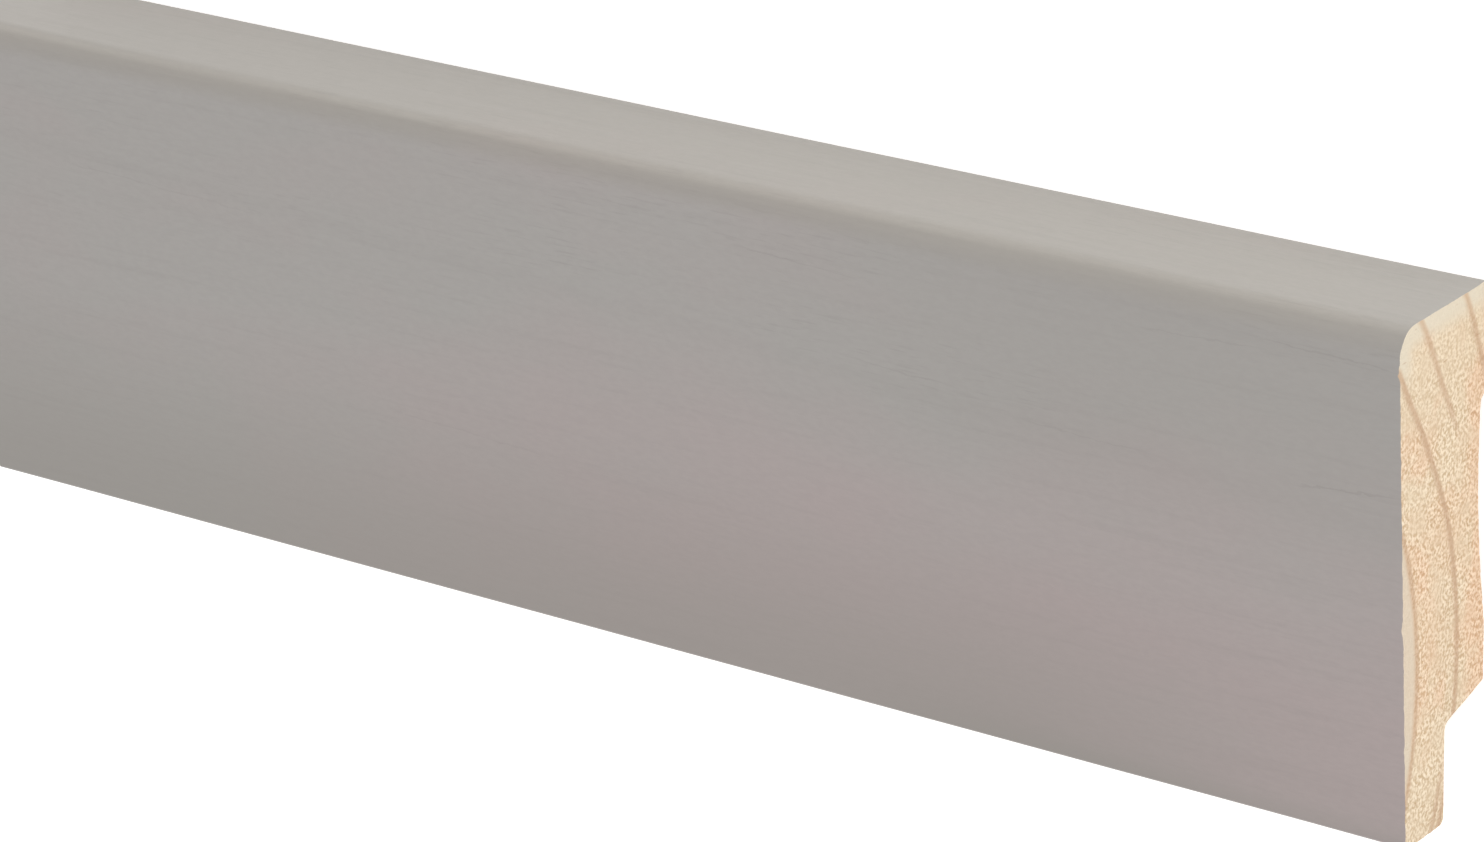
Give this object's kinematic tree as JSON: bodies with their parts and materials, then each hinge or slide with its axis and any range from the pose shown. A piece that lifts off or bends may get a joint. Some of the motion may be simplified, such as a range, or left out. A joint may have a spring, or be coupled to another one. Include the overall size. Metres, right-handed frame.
{
  "type": "skirting board",
  "caption": "Length of solid pine skirting board with a rounded nose, a hollowed wall side and a cable rebate behind the foot, grey lacquer on its show faces.",
  "frame": {"origin": "on the wall side, at the middle of the length and of the height", "axes": "+X along the board, +Y up its height from the foot to the top edge, +Z out of the wall side towards the show face; the board lies on its wall side"},
  "size_m": [0.197, 0.058, 0.0179],
  "materials": {
    "lacquered_pine": "satin warm grey lacquer on the show face, nose and top edge; bare planed pine on the wall side, rebate and foot; bare sawn end grain"
  },
  "bodies": {
    "root": {"skirting_board": "lacquered_pine"}
  },
  "joints": []
}
